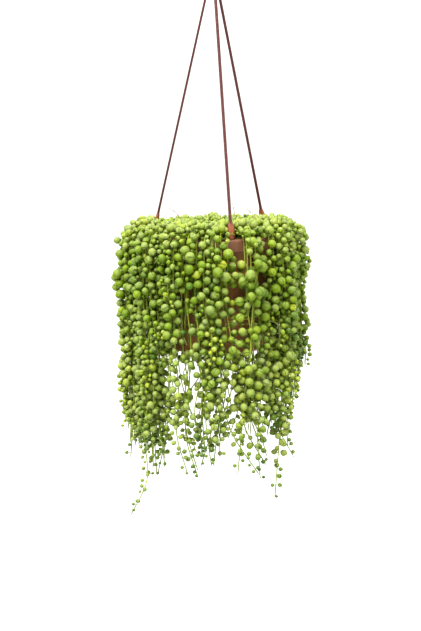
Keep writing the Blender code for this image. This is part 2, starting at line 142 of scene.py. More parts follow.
class Finish:
    """A material in the making: one Principled shader and the nodes that vary it."""

    def __init__(self, name, **constants):
        self.made = bpy.data.materials.new(name)
        self.made.use_nodes = True
        self.tree = self.made.node_tree
        self.shader = self.tree.nodes["Principled BSDF"]
        for socket, value in constants.items():
            self.shader.inputs[socket.replace("_", " ")].default_value = value

    def node(self, kind, settings, inputs, output=0):
        """A node with these settings and inputs, as a reading of one output."""
        made = self.tree.nodes.new("ShaderNode" + kind)
        for name, value in settings.items():
            setattr(made, name, value)
        for socket, value in inputs.items():
            if isinstance(value, Reading):
                self.tree.links.new(value.socket, made.inputs[socket])
            else:
                made.inputs[socket].default_value = value
        return Reading(self, made.outputs[output])

    def coordinates(self):
        """Where on the object a point is."""
        return self.node("TexCoord", {}, {}, "Object")

    def carried(self, name, output):
        """What the mesh's corners carry under this name."""
        return self.node("Attribute", {"attribute_name": name}, {}, output)

    def part(self, whole, name):
        """One axis of a place or one channel of a colour."""
        return self.node("SeparateXYZ" if name in "XYZ" else "SeparateColor", {}, {0: whole}, name)

    def grain(self, scale, detail=2.0, where=None):
        """Smooth noise from 0 to 1, this many lumps to the metre."""
        where = where or self.coordinates()
        return self.node("TexNoise", {}, {"Vector": where, "Scale": scale, "Detail": detail})

    def step(self, reading, low, high, first=0.0, last=1.0):
        """Goes smoothly from first to last as the reading goes from low to high."""
        return self.node(
            "MapRange", {"interpolation_type": "SMOOTHSTEP"},
            {"Value": reading, "From Min": low, "From Max": high, "To Min": first, "To Max": last},
        )

    def blend(self, share, first, second):
        """From the first colour to the second."""
        colours = {}
        for socket, colour in ((6, first), (7, second)):
            colours[socket] = colour if isinstance(colour, Reading) else (*colour, 1.0)
        return self.node("Mix", {"data_type": "RGBA"}, {0: share, **colours}, 2)

    def vary(self, socket, reading):
        """Lets a reading drive a socket of the shader."""
        self.tree.links.new(reading.socket, self.shader.inputs[socket])

    def dent(self, height, distance):
        """Raises the surface by up to this distance where the reading is 1."""
        self.vary("Normal", self.node("Bump", {}, {"Height": height, "Distance": distance}))


def mesh_from(name, bm):
    """The bmesh's shape as a mesh. The bmesh is used up."""
    mesh = bpy.data.meshes.new(name)
    bm.to_mesh(mesh)
    bm.free()
    return mesh


FLOOR_COLOUR = (0.93, 0.93, 0.92)
FLOOR_MOTTLE = 0.985
paper = Finish("floor_paper", Roughness=0.9)
paper.vary("Base Color", paper.blend(
    paper.grain(3, 1.0), FLOOR_COLOUR, [share * FLOOR_MOTTLE for share in FLOOR_COLOUR],
))
bm = bmesh.new()
bmesh.ops.create_grid(
    bm, x_segments=1, y_segments=1, size=FLOOR_SIZE, matrix=Matrix.Translation((0, 0, FLOOR_HEIGHT)),
)
floor = add_object("floor", mesh_from("floor", bm))
floor.data.materials.append(paper.made)

# Pot: moulded reddish brown plastic, with a tapered wall, a flat shelf round its mouth and a
# skirt below the shelf. The hanger's feet snap into three slots in the shelf.
GAP = 0.0003
POT_HEIGHT = 0.118
POT_BASE = RIM_TOP - POT_HEIGHT
WALL = 0.0018
RIM_RADIUS = 0.0705
MOUTH_RADIUS = 0.0616
BASE_RADIUS = 0.0485
SKIRT_DROP = 0.012
SKIRT_TAPER = 0.0004
ROUNDING = 0.0015
POT_SIDES = 96
POT_EDGE = 0.00045
DRAIN_HOLES = 6
DRAIN_RADIUS = 0.0035
DRAIN_CIRCLE = 0.03
FOOT_RADIUS = 0.066
# width and thickness of the tongue that goes through the rim
TONGUE = (0.0038, 0.0018)
STRAND_NAMES = ("front", "right", "left")
STRAND_ANGLES = [radians(-77.5) + tau * k / 3 for k in range(3)]
SMOOTH_ANGLE = radians(40)
SHARP_ANGLE = radians(20)

POT_BROWN = (0.165, 0.071, 0.032)
POT_DUSTY = (0.23, 0.13, 0.07)
POT_DARK = (0.085, 0.034, 0.017)
# lighter brown of the wall below the skirt, painted light
POT_WALL_PAINTED_LIGHT = (0.3, 0.138, 0.036)


def polar(radius, angle, height):
    """The point this far from the pot's axis, this way round it and this high."""
    return Vector((radius * cos(angle), radius * sin(angle), height))


def sideways(angle):
    """The way that runs round the pot at this angle."""
    return Vector((-sin(angle), cos(angle), 0))


def turned(profile, sides):
    """A shape turned about the Z axis, from (radius, height) points."""
    bm = bmesh.new()
    line = [bm.verts.new((radius, 0, height)) for radius, height in profile]
    for upper, lower in zip(line, line[1:]):
        bm.edges.new((upper, lower))
    bmesh.ops.spin(
        bm, geom=bm.verts[:] + bm.edges[:], cent=(0, 0, 0), axis=(0, 0, 1),
        angle=tau, steps=sides, use_merge=True,
    )
    bmesh.ops.remove_doubles(bm, verts=bm.verts, dist=1e-6)
    bmesh.ops.recalc_face_normals(bm, faces=bm.faces)
    return bm


def put(name, bm, finish, slot, *nodes):
    """Makes the bmesh a piece that stands for these nodes."""
    bmesh.ops.recalc_face_normals(bm, faces=bm.faces)
    mesh = mesh_from(name, bm)
    mesh.shade_smooth()
    mesh.set_sharp_from_angle(angle=SMOOTH_ANGLE)
    mesh.materials.append(finish.made)
    piece = add_object(name, mesh)
    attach(piece, "root")
    if nodes:
        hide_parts(*nodes)
    return piece


def cut(piece, bm):
    """Cuts the bmesh's shape out of the piece."""
    cutter = add_object("cutter", mesh_from("cutter", bm))
    modifier = piece.modifiers.new("cut", "BOOLEAN")
    modifier.operation = "DIFFERENCE"
    modifier.solver = "EXACT"
    modifier.object = cutter
    shaped = bpy.data.meshes.new_from_object(piece.evaluated_get(bpy.context.evaluated_depsgraph_get()))
    piece.modifiers.remove(modifier)
    piece.data = shaped
    bpy.data.objects.remove(cutter)


def slot_blocks(radius, height, section, depth):
    """Blocks that cut a slot for each strand's section."""
    bm = bmesh.new()
    size = (section[1] + 2 * GAP, section[0] + 2 * GAP, depth, 1.0)
    for angle in STRAND_ANGLES:
        place = Matrix.Translation(polar(radius, angle, height)) @ Matrix.Rotation(angle, 4, "Z")
        bmesh.ops.create_cube(bm, size=1.0, matrix=place @ Matrix.Diagonal(size))
    return bm


def wall_radius(height):
    """The outside of the pot's tapered wall at this height."""
    share = (height - POT_BASE) / POT_HEIGHT
    return BASE_RADIUS + (MOUTH_RADIUS + WALL - BASE_RADIUS) * share


brown = Finish("pot_plastic_finish", Roughness=0.5, IOR=1.46)
scuffs = brown.step(brown.grain(900, 4.0), 0.52, 0.74)
clouds = brown.step(brown.grain(38, 3.0), 0.35, 0.7)
streaks = brown.grain(1.0, 2.0, brown.node(
    "Mapping", {}, {"Vector": brown.coordinates(), "Scale": (260, 260, 24)},
))
height = brown.part(brown.coordinates(), "Z")
# Painted light: below the skirt the wall is painted a lighter brown that makes up for the shade of the
# leaves over it, while the rim band keeps the darker brown. The clouds, streaks and scuffs are the
# plastic's own mottle and dust.
wall_painted_lighter = brown.step(height, RIM_TOP - SKIRT_DROP - 0.003, RIM_TOP - SKIRT_DROP, 1.0, 0.0)
browned = brown.blend(wall_painted_lighter, brown.blend(
    clouds * 0.55, POT_BROWN, POT_DARK,
), brown.blend(clouds * 0.45, POT_WALL_PAINTED_LIGHT, POT_BROWN))
dusted = brown.blend(brown.step(streaks, 0.48, 0.75) * 0.35 + scuffs * 0.2, browned, POT_DUSTY)
brown.vary("Base Color", dusted)
brown.vary("Roughness", brown.step(clouds + scuffs * 0.5, 0.0, 1.3, 0.42, 0.62))
brown.dent(brown.grain(2600), 0.00004)

shelf = RIM_TOP - WALL
skirt = RIM_TOP - SKIRT_DROP
skirt_radius = RIM_RADIUS - SKIRT_TAPER
inside = BASE_RADIUS - WALL
pot_floor = POT_BASE + WALL
bm = turned((
    (0, pot_floor),
    (inside - 2 * ROUNDING, pot_floor),
    (inside, pot_floor + 2 * ROUNDING),
    (MOUTH_RADIUS, RIM_TOP - ROUNDING),
    (MOUTH_RADIUS + ROUNDING, RIM_TOP),
    (RIM_RADIUS - ROUNDING, RIM_TOP),
    (RIM_RADIUS, RIM_TOP - ROUNDING),
    (skirt_radius, skirt),
    (skirt_radius - WALL, skirt),
    (RIM_RADIUS - WALL, shelf),
    (MOUTH_RADIUS + WALL, shelf),
    (wall_radius(pot_floor), pot_floor),
    (BASE_RADIUS - ROUNDING, POT_BASE),
    (0, POT_BASE),
), POT_SIDES)
bmesh.ops.bevel(
    bm, geom=[edge for edge in bm.edges if edge.is_manifold and edge.calc_face_angle() > SHARP_ANGLE],
    offset=POT_EDGE, segments=3, profile=0.5, affect="EDGES", material=-1, clamp_overlap=True,
)
pot = put("moulded_pot", bm, brown, "pot_plastic", "pot")
cut(pot, slot_blocks(FOOT_RADIUS, RIM_TOP - WALL / 2, TONGUE, 5 * WALL))
bm = bmesh.new()
for k in range(DRAIN_HOLES):
    centre = polar(DRAIN_CIRCLE, tau * (k + 0.5) / DRAIN_HOLES, POT_BASE + WALL / 2)
    bmesh.ops.create_cone(
        bm, cap_ends=True, segments=24, radius1=DRAIN_RADIUS, radius2=DRAIN_RADIUS,
        depth=3 * WALL, matrix=Matrix.Translation(centre),
    )
cut(pot, bm)

# Hook: a round bar of the hanger's plastic, bent to a crook. The three strands hang from the
# flange at its foot.
HOOK_BORE = 0.014
BAR = 0.003
BAR_SIDES = 20
HOOK_TIP_ANGLE = radians(205)
HOOK_NECK_ANGLE = radians(-62)
HOOK_STEPS = 12
SHANK_TOP = -0.04
FLANGE_TOP = -0.052
FLANGE_THICK = 0.003
FLANGE_RADIUS = 0.0086
FLANGE_EDGE = 0.0006
HEAD_RADIUS = 0.005
# width and thickness of a strand, which goes through the flange
STRAND = (0.003, 0.0021)

HANGER_RED = (0.046, 0.011, 0.009)
# pale tone of the plastic's mottle, and the painted light on the clips
HANGER_PALE_AND_LIT = (0.21, 0.07, 0.024)


def smooth_line(points, step):
    """Places this far apart on a smooth curve through the points."""
    ends = [points[0] * 2 - points[1], *points, points[-1] * 2 - points[-2]]
    line = []
    for before, here, there, after in zip(ends, ends[1:], ends[2:], ends[3:]):
        count = max(2, round((there - here).length / step))
        for k in range(count):
            t = k / count
            speed = (there - before) * t
            bend = (before * 2 - here * 5 + there * 4 - after) * t ** 2
            twist = (here * 3 - before - there * 3 + after) * t ** 3
            line.append(here + (speed + bend + twist) / 2)
    return line + [points[-1].copy()]


def heading(line, k, ahead=1):
    """The way that the line runs at its place number k."""
    return (line[min(k + ahead, len(line) - 1)] - line[max(k - 1, 0)]).normalized()


class Bar:
    """A bar drawn out one ring of corners at a time."""

    def __init__(self, bm=None):
        self.bm = bm or bmesh.new()
        self.cap = None

    def draw_to(self, ring):
        """Pulls the end of the bar out to the next ring of places."""
        if self.cap is None:
            self.cap = self.bm.faces.new([self.bm.verts.new(place) for place in ring])
            self.cap.copy().normal_flip()
        else:
            self.cap = bmesh.ops.extrude_discrete_faces(self.bm, faces=[self.cap])["faces"][0]
            for corner, place in zip(self.cap.verts, ring):
                corner.co = place


def ring_about(centre, across, along, radius, sides):
    """Corners round a circle in the plane of the two directions."""
    turns = [tau * k / sides for k in range(sides)]
    return [centre + (across * cos(turn) + along * sin(turn)) * radius for turn in turns]


red = Finish("hanger_plastic_finish", Roughness=0.38, IOR=1.46, Specular_IOR_Level=0.35)
height = red.part(red.coordinates(), "Z")
# Painted light: the strands are painted paler towards their clips near the rim, standing for the light on
# the clips. The mottle is the plastic's own uneven tone.
painted_light_on_clip = red.step(height, RIM_TOP + 0.011, RIM_TOP + 0.018, 1.0, 0.0)
mottled = red.step(red.grain(420, 3.0), 0.4, 0.75)
red.vary("Base Color", red.blend(painted_light_on_clip * 0.75 + mottled * 0.12, HANGER_RED, HANGER_PALE_AND_LIT))
red.vary("Roughness", red.step(mottled, 0.0, 1.0, 0.3, 0.46))
red.dent(red.grain(1500), 0.00003)

crook_centre = Vector((0, 0, -HOOK_BORE))
crook = []
for step in range(HOOK_STEPS + 1):
    angle = HOOK_TIP_ANGLE + (HOOK_NECK_ANGLE - HOOK_TIP_ANGLE) * step / HOOK_STEPS
    crook.append(crook_centre + Vector((cos(angle), 0, sin(angle))) * (HOOK_BORE + BAR))
shank = Vector((0, 0, SHANK_TOP))
swing = crook[-1].lerp(shank, 0.55) - Vector((0, 0, BAR / 3))
line = smooth_line(crook + [swing, shank, Vector((0, 0, FLANGE_TOP + BAR))], 0.0014)
across = Vector((0, 1, 0))
bar = Bar()
run = heading(line, 0)
for share, back in ((0.45, 0.36), (0.8, 0.22), (0.96, 0.08)):
    bar.draw_to(ring_about(line[0] - run * BAR * back, across, run.cross(across), BAR * share, BAR_SIDES))
for k, centre in enumerate(line):
    side = heading(line, k).cross(across)
    bar.draw_to(ring_about(centre, across, side, BAR, BAR_SIDES))
flange_foot = FLANGE_TOP - FLANGE_THICK
corner_cut = FLANGE_EDGE * 0.3
for height, radius in (
    (FLANGE_TOP + 0.001, BAR),
    (FLANGE_TOP + 0.0003, BAR + 0.0003),
    (FLANGE_TOP, BAR + 0.0012),
    (FLANGE_TOP, FLANGE_RADIUS - FLANGE_EDGE),
    (FLANGE_TOP - corner_cut, FLANGE_RADIUS - corner_cut),
    (FLANGE_TOP - FLANGE_EDGE, FLANGE_RADIUS),
    (flange_foot + FLANGE_EDGE, FLANGE_RADIUS),
    (flange_foot + corner_cut, FLANGE_RADIUS - corner_cut),
    (flange_foot, FLANGE_RADIUS - FLANGE_EDGE),
):
    bar.draw_to(ring_about(Vector((0, 0, height)), across, side, radius, BAR_SIDES))
hook = put("hanger_crook", bar.bm, red, "hanger_plastic", "hanger_hook")
cut(hook, slot_blocks(HEAD_RADIUS, FLANGE_TOP - FLANGE_THICK / 2, STRAND, 2 * FLANGE_THICK))

# Strands: three stiff flat bars of the same plastic. Each has a head that rests on the flange
# and a wider clip at its foot, whose tongue and barb go down through the pot's rim.
STRAND_DROP = 0.242
# width and thickness of the head, of the clip and of the barb
HEAD = (0.0046, 0.003)
SHOULDER = (0.007, 0.0034)
BARB = (0.006, 0.0023)
BARB_LENGTH = 0.0052
STRAND_CORNERS = 16
SQUARENESS = 0.62

seat = FLANGE_TOP + GAP
under = RIM_TOP - WALL - GAP
slope = (FOOT_RADIUS - HEAD_RADIUS) / STRAND_DROP
# radius, height, section and shares of its width and thickness, from the head to the barb
stations = [(HEAD_RADIUS, *row) for row in (
    (seat + 0.0026, HEAD, 0.55, 0.5),
    (seat + 0.0025, HEAD, 0.8, 0.8),
    (seat + 0.0018, HEAD, 1, 1),
    (seat, HEAD, 1, 1),
    (seat, STRAND, 1, 1),
    (FLANGE_TOP - FLANGE_THICK - 0.0012, STRAND, 1, 1),
)]
stations += [(FOOT_RADIUS - slope * rise, RIM_TOP + rise, *rest) for rise, *rest in (
    *((rise, STRAND, 1, 1) for rise in (0.232, 0.18, 0.12, 0.06, 0.0195)),
    (0.016, STRAND, 1.15, 1.1),
    (0.014, SHOULDER, 0.78, 0.84),
    (0.012, SHOULDER, 1, 0.95),
    (0.0095, SHOULDER, 1, 1),
)]
stations += [(FOOT_RADIUS, *row) for row in (
    (RIM_TOP + 0.004, SHOULDER, 0.9, 0.96),
    (RIM_TOP + GAP, SHOULDER, 0.8, 0.85),
    (RIM_TOP + GAP, TONGUE, 1, 1),
    (under, TONGUE, 1, 1),
    (under, BARB, 1, 1),
    (under - BARB_LENGTH, BARB, 0.5, 0.6),
)]
outline = []
for k in range(STRAND_CORNERS):
    angle = tau * k / STRAND_CORNERS
    outline.append([copysign(abs(reach) ** SQUARENESS, reach) / 2 for reach in (cos(angle), sin(angle))])
for name, angle in zip(STRAND_NAMES, STRAND_ANGLES):
    around = sideways(angle)
    outward = polar(1, angle, 0)
    bar = Bar()
    for radius, height, section, wide, thick in stations:
        middle = polar(radius, angle, height)
        a, b = around * section[0] * wide, outward * section[1] * thick
        bar.draw_to([middle + a * across + b * out for across, out in outline])
    put(f"flat_strand_{name}", bar.bm, red, "hanger_plastic", f"hanger_strand_{name}")

# Soil: dark peaty mix with bits of bark and a few white grains, crumbly on top. It is filled to
# below the rim, and the stems are rooted in it.
SOIL_DROP = 0.013
SOIL_CROWN = 0.004
SOIL_SIDES = 72
SOIL_RINGS = 24
SOIL_LUMPS = 0.0016
CRUMBS = 420
CRUMB_SIZES = (0.0008, 0.0022)
WHITE_CRUMBS = 0.12
CRUMB_SEED = 21

PEAT = (0.04, 0.024, 0.016)
BARK = (0.12, 0.066, 0.038)
WHITE_GRAIN = (0.62, 0.6, 0.54)


def soil_height(radius):
    """The soil's surface, a little higher in the middle."""
    share = radius / MOUTH_RADIUS
    return RIM_TOP - SOIL_DROP + SOIL_CROWN * (1 - share * share)


peat = Finish("potting_soil_finish", Roughness=0.95)
white = peat.carried("white_grain", "Fac")
fibres = peat.step(peat.grain(700, 5.0), 0.4, 0.72)
peat.vary("Base Color", peat.blend(white, peat.blend(fibres, PEAT, BARK), WHITE_GRAIN))
peat.dent(peat.grain(1600, 4.0), 0.0004)

base = POT_BASE + WALL + GAP
edge = RIM_TOP - SOIL_DROP
side = inside - 3 * GAP
profile = [(0, base), (side - 2 * ROUNDING, base), (side, base + 2 * ROUNDING)]
profile.append((wall_radius(edge) - WALL - 3 * GAP, edge))
for k in reversed(range(SOIL_RINGS)):
    away = MOUTH_RADIUS * k / SOIL_RINGS
    profile.append((away, soil_height(away)))
bm = turned(profile, SOIL_SIDES)
white_grain = bm.verts.layers.float.new("white_grain")
for corner in bm.verts:
    if corner.co.z > edge - 0.001 and corner.co.xy.length < MOUTH_RADIUS * 0.97:
        corner.co.z += SOIL_LUMPS * noise.fractal(corner.co * 260, 1.0, 2.0, 3)
draw = random.Random(CRUMB_SEED)
for crumb in range(CRUMBS):
    away = MOUTH_RADIUS * 0.93 * math.sqrt(draw.random())
    size = draw.uniform(*CRUMB_SIZES)
    place = Matrix.Translation(polar(away, draw.uniform(0, tau), soil_height(away) + size * 0.3))
    tilt = Quaternion((draw.gauss(0, 1), draw.gauss(0, 1), draw.gauss(0, 1)), draw.uniform(0, 3))
    shape = Matrix.Diagonal((size, size * draw.uniform(0.5, 1), size * draw.uniform(0.4, 0.8), 1))
    shape = place @ tilt.to_matrix().to_4x4() @ shape
    lump = bmesh.ops.create_icosphere(bm, subdivisions=1, radius=1, matrix=shape)
    whiteness = 1.0 if draw.random() < WHITE_CRUMBS else 0.0
    for corner in lump["verts"]:
        corner[white_grain] = whiteness
put("peat_soil", bm, peat, "potting_soil", "soil")

# Leafy stems: each comes out of the soil, arches over the rim and hangs, and its pearls are round
# leaves on short stalks. These are the solids' stems, with the solids' pearls in their places.
STEMS = 33
STEM_SEED = 7
STEM_RADIUS = 0.0011
STEM_END_RADIUS = 0.0006
LINE_STEP = 0.002
# where a stem is rooted, how high it crests over the rim and where, and how far out it hangs
LAYERS = ((0.052, 0.0042, 0.072, 0.078), (0.037, 0.0058, 0.074, 0.082), (0.023, 0.0076, 0.0765, 0.0862))
INNER_ROOTS_IN = 0.011
ROOT_DEPTH = 0.006
LEAN_LEFT = 0.0055
RIM_BERTH = 0.0055
STRAND_BERTH = radians(5.5)
HANG = 0.213
HANG_SHORT_RIGHT = 0.054
HANG_VARIES = 0.024
# each outgrown stem: the way round in degrees, its drop, and its end's swing sideways and outwards
LONG_STEMS = (
    (-158, 0.284, 0.016, 0.017), (-115, 0.233, 0.006, 0.003), (-93, 0.231, 0.028, 0),
    (-71, 0.231, -0.006, 0), (-38, 0.261, -0.01, 0.002), (40, 0.232, -0.008, 0.004),
    (71, 0.238, 0.01, 0), (104, 0.262, 0.006, 0.008), (142, 0.24, -0.012, 0.004),
)
LOWEST_RISE = 0.0036
BACK_LOWER = 0.5
SWAY = 0.0042
SWAY_LENGTH = 0.04
SHOULDER_DROP = 0.026
FIRST_PEARL = 0.0065
CROWN_PITCH = 0.016
HANG_PITCH = 0.0215
TIP_PITCH = 0.0165
TIP_LENGTH = 0.05
END_BARE = 0.005
PEARL_RADII = (0.0039, 0.0052)
TIP_PEARL = 0.0018
# pearls are smaller from this far below the rim down, to this share of full size at the hem
LOW_FROM = 0.03
LOW_DOWN = 0.19
LOW_SHARE = 0.72
STALK = 0.001
CROWN_PEARLS = 0.84
CROWN_LIFT = 0.35
BACK_DROOP = 0.8


def metres(rows):
    """The table with its millimetres turned to metres."""
    return [[size / 1000 for size in row] for row in rows]


# how high the crown stands above the rim, this far across, and how it falls towards the back
CROWN_TOP = metres((
    (-110, -30), (-100, -10), (-94, 2), (-85, 10), (-77, 16.5), (-69, 15.5), (-61, 13),
    (-53, 9.5), (-45, 8.5), (-37, 11), (-29, 11), (-21, 13.5), (-13, 13), (-5, 16.5),
    (3, 15.5), (11, 11.5), (19, 15.5), (27, 13), (35, 13), (43, 15), (51, 15),
    (59, 16.5), (67, 14), (75, 10), (83, 4), (91, -14), (100, -30),
))
CROWN_FALL = 0.14
CLEARANCE = 0.0007
TWIST = radians(47)
HANGING = -0.8


def past_strands(angle):
    """This way round the pot, or the nearest that is clear of the strands."""
    for strand in STRAND_ANGLES:
        apart = (angle - strand + pi) % tau - pi
        if abs(apart) < STRAND_BERTH:
            return strand + copysign(STRAND_BERTH, apart)
    return angle


def arching(angle, root, rise, crest, out, hang, sway, phase, curl, drift, flare, lowest=LOWEST_RISE):
    """The points of a stem that arches over the rim and hangs."""
    rise = max(lowest, rise * (1 - BACK_LOWER * max(0, sin(angle))))
    soil = soil_height(root)
    top = RIM_TOP + rise
    shoulder = top - SHOULDER_DROP
    over = crest - root
    up = top - soil
    plan = [
        (root, soil - ROOT_DEPTH, 0),
        (root, soil - ROOT_DEPTH / 3, 0),
        (root, soil + 0.002, 0),
        (root + over * 0.03, soil + 0.0065, 0),
        (root + over * 0.28, soil + up * 0.72, 0),
        (root + over * 0.66, top - 0.001, 0),
        (crest, top, 0),
        (out - 0.0022, top - 0.009, 0),
        (out, shoulder, 0),
    ]
    drop = shoulder - (RIM_TOP - hang)
    spans = max(1, round(drop / SWAY_LENGTH))
    for k in range(1, spans + 1):
        share = k / spans
        swing = sway * sin(phase + 1.9 * k) * min(1.0, 2 * share) + drift * share ** 2
        if k == spans:
            swing += curl
        bulge = 0.4 * sway * cos(phase + 1.3 * k) + flare * share ** 12
        plan.append((out + bulge, shoulder - drop * share, swing))
    return [polar(radius, angle, height) + sideways(angle) * swing for radius, height, swing in plan]


class Trail:
    """One leafy stem: its middle line, from root to tip, and its pearls."""

    def __init__(self, angle, points, long=False, habit="hanging"):
        self.number = len(trails)
        self.angle = angle
        self.long = long
        self.habit = habit
        self.line = smooth_line(points, LINE_STEP)
        self.reach = [0.0]
        for here, there in zip(self.line, self.line[1:]):
            self.reach.append(self.reach[-1] + (there - here).length)
        self.length = self.reach[-1]
        self.pearls = []

    def at(self, distance):
        """The place and the stem's run, this far along it."""
        k = int(np.searchsorted(self.reach, distance)) - 1
        k = min(max(k, 0), len(self.line) - 2)
        share = (distance - self.reach[k]) / (self.reach[k + 1] - self.reach[k])
        return self.line[k].lerp(self.line[k + 1], share), heading(self.line, k, 2)

    def thickness(self, distance):
        """The stem's radius this far along it."""
        return STEM_RADIUS + (STEM_END_RADIUS - STEM_RADIUS) * distance / self.length

    def stations(self):
        """How far along the stem the solids may have pearls. One place is its crest."""
        start = ROOT_DEPTH + FIRST_PEARL
        crest = self.reach[max(range(len(self.line)), key=lambda k: self.line[k].z)]
        spans = math.ceil((crest - start) / CROWN_PITCH)
        found = [start + (crest - start) * k / spans for k in range(spans + 1)]
        following = crest + CROWN_PITCH
        while following < self.length - END_BARE:
            found.append(following)
            following += TIP_PITCH if self.length - following < TIP_LENGTH else HANG_PITCH
        return found

    def rings(self, distances, twist=0.0):
        """(distance, place, run, side) of a ring at each distance."""
        side = None
        for distance in distances:
            place, run = self.at(distance)
            if side:
                side.rotate(last.rotation_difference(run))
                side.rotate(Quaternion(run, twist))
            else:
                side = run.orthogonal()
            side = (side - run * side.dot(run)).normalized()
            last = run
            yield distance, place, run, side.copy()


def clear_of_pot(centre, radius):
    """True if a ball here is clear of the pot and the soil."""
    away = hypot(centre.x, centre.y)
    if away + radius < MOUTH_RADIUS:
        return centre.z - radius > soil_height(away)
    if centre.z - radius > RIM_TOP:
        return True
    if centre.z + radius > RIM_TOP - SKIRT_DROP:
        return away - radius > RIM_RADIUS
    return away - radius > wall_radius(centre.z + radius)


def clear_of_hanger(centre, radius):
    """True if a ball here is clear of the strands and their clips."""
    for angle in STRAND_ANGLES:
        foot = polar(FOOT_RADIUS, angle, RIM_TOP)
        head = polar(HEAD_RADIUS, angle, FLANGE_TOP)
        share = max(0, (centre - foot).dot(head - foot) / (head - foot).length_squared)
        nearest = foot.lerp(head, share)
        half = SHOULDER[0] if nearest.z < RIM_TOP + 0.02 else STRAND[0]
        if (centre - nearest).length < radius + half * 0.6:
            return False
        before_clip = min(max(centre.xy.length, FOOT_RADIUS), FOOT_RADIUS + 0.02)
        low = RIM_TOP + 0.004 - (before_clip - FOOT_RADIUS) * 0.1
        nearest = polar(before_clip, angle, min(max(centre.z, low), RIM_TOP + 0.014))
        if (centre - nearest).length < radius + SHOULDER[0] * 0.5:
            return False
    return True


class Room:
    """The space that is taken, as balls along the stems and in the pearls."""

    def __init__(self):
        self.stem_balls = []
        self.pearl_balls = []

    def look_at(self, trail):
        """Keeps the balls near this stem to hand."""
        line = np.array(trail.line)
        low, high = line.min(axis=0) - 0.02, line.max(axis=0) + 0.02
        near = []
        for balls, columns in ((self.stem_balls, 6), (self.pearl_balls, 4)):
            balls = np.array(balls).reshape(-1, columns)
            inside = ((balls[:, :3] > low) & (balls[:, :3] < high)).all(axis=1)
            near.append(balls[inside])
        self.stems, self.pearls = near

    def take(self, centre, radius):
        """Fills a ball with part of a pearl."""
        ball = (*centre, radius)
        self.pearl_balls.append(ball)
        self.pearls = np.vstack([self.pearls, ball])

    def has(self, centre, radius, trail, distance, clearance=0.0):
        """True if a pearl here is this far clear of all but its own stem."""
        reach = radius + clearance
        if (np.linalg.norm(self.pearls[:, :3] - centre, axis=1) < self.pearls[:, 3] + reach).any():
            return False
        near = np.linalg.norm(self.stems[:, :3] - centre, axis=1) < self.stems[:, 3] + reach
        own = (self.stems[:, 4] == trail.number) & (np.abs(self.stems[:, 5] - distance) < 2.2 * radius)
        if (near & ~own).any():
            return False
        return clear_of_pot(centre, reach) and clear_of_hanger(centre, reach)


def plant(trail):
    """Adds the trail to the rest and fills the space of its stem."""
    trails.append(trail)
    for place, distance in zip(trail.line, trail.reach):
        room.stem_balls.append((*place, trail.thickness(distance), trail.number, distance))


def above_crown(centre, radius):
    """True if a pearl here would stand above the crown."""
    across, height = zip(*CROWN_TOP)
    top = RIM_TOP + float(np.interp(centre.x, across, height)) - CROWN_FALL * centre.y
    return centre.z + radius > top


def young_share(place):
    """How large a pearl this low down is, as a share of one near the rim."""
    low = min(1.0, max(0, (RIM_TOP - LOW_FROM - place.z) / LOW_DOWN))
    return 1 - (1 - LOW_SHARE) * low


def own_pearls(trail):
    """Puts the solid's own pearls on the stem, each on its ring's freest face."""
    room.look_at(trail)
    last = Vector((0, 0, 0))
    stations = [0.0, ROOT_DEPTH, *trail.stations(), trail.length]
    for distance, place, run, side in trail.rings(stations, TWIST):
        if distance <= ROOT_DEPTH or distance == trail.length:
            continue
        outward = Vector((place.x, place.y, 0)).normalized()
        normals = [Quaternion(run, tau * (k + 0.5) / 3) @ side for k in range(3)]
        if run.z < HANGING:
            liking = [normal.dot(outward) * 0.3 - normal.dot(last) for normal in normals]
        else:
            lift = CROWN_LIFT - BACK_DROOP * max(0, outward.y)
            liking = [-abs(normal.z - lift) for normal in normals]
        faces = sorted(range(3), key=lambda k: -liking[k])
        full = draw.uniform(*PEARL_RADII) * (1.0 if run.z < HANGING else CROWN_PEARLS)
        full *= young_share(place)
        young = TIP_LENGTH * (1.5 if trail.long else 1.0)
        full = TIP_PEARL + (full - TIP_PEARL) * min(1.0, (trail.length - distance) / young)
        flat = trail.thickness(distance) / 2
        for radius, face in [(full * share, face) for share in (1.0, 0.8) for face in faces]:
            centre = place + normals[face] * (flat + STALK + radius)
            if not above_crown(centre, radius) and room.has(centre, radius, trail, distance, CLEARANCE):
                room.take(centre, radius)
                room.take(place + normals[face] * (flat + STALK), radius / 2)
                trail.pearls.append((distance, place, centre, radius))
                last = normals[face]
                break


draw = random.Random(STEM_SEED)
room = Room()
trails = []
for number in range(STEMS):
    angle = past_strands(tau * (number + 0.5 + draw.uniform(-0.12, 0.12)) / STEMS)
    hang = HANG - HANG_SHORT_RIGHT * max(0, cos(angle)) ** 2
    hang += HANG_VARIES * draw.uniform(-1, 0.6)
    drift = flare = 0.0
    degrees = math.degrees(angle) + 180
    outgrown = [row for row in LONG_STEMS if abs((degrees - row[0]) % 360 - 180) <= 180 / STEMS]
    if outgrown:
        hang, drift, flare = outgrown[-1][1:]
    root, rise, crest, out = LAYERS[number % len(LAYERS)]
    if number % (2 * len(LAYERS)) == len(LAYERS) - 1:
        root -= INNER_ROOTS_IN
    out += draw.uniform(-0.001, 0.001) - LEAN_LEFT * cos(angle)
    out = max(out, RIM_RADIUS + RIM_BERTH)
    phase = draw.uniform(0, tau)
    curl = draw.choice((-1, 1)) * draw.uniform(0.004, 0.012)
    points = arching(angle, root, rise, crest, out, hang, SWAY, phase, curl, drift, flare)
    plant(Trail(angle, points, bool(outgrown)))
for trail in trails:
    own_pearls(trail)

# More trails: younger stems between those, nearly five times as many, at every depth of the
# curtain. They thin out at the front right, where the pot shows through.
MORE_TRAILS = 160
MORE_SEED = 31
# share of the usual number of stems this way round, in degrees
FULLNESS = (
    (-180, 1.35), (-150, 1.35), (-125, 1.05), (-103, 0.95), (-92, 1.25), (-84, 0.8), (-76, 0.3),
    (-60, 0.3), (-45, 0.7), (-28, 1.3), (0, 1.25), (60, 1.0), (120, 1.0), (180, 1.35),
)
